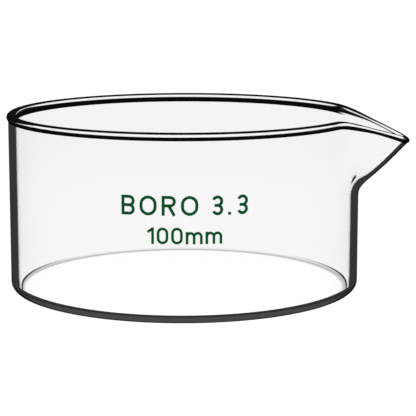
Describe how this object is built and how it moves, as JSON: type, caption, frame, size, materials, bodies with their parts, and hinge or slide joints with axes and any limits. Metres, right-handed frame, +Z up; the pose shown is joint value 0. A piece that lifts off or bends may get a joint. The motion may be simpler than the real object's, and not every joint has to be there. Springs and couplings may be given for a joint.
{
  "type": "crystallizing dish",
  "caption": "Clear glass crystallizing dish: a short flat-bottomed cylinder with a beaded rim and a pointed pouring spout, printed in green with its glass type and diameter.",
  "frame": {"origin": "centre of the flat underside of the base, on the axis of the round wall", "axes": "+Z up along the dish axis, +X towards the spout, -Y towards the printed side"},
  "size_m": [0.1147, 0.101, 0.0505],
  "materials": {
    "borosilicate_glass": "clear, fire-polished, colourless borosilicate glass",
    "green_enamel": "opaque dark green ceramic enamel, screen printed and fired on, satin gloss"
  },
  "bodies": {
    "root": {"dish_glass": "borosilicate_glass", "glass_type_print": "green_enamel", "size_print": "green_enamel"}
  },
  "joints": []
}
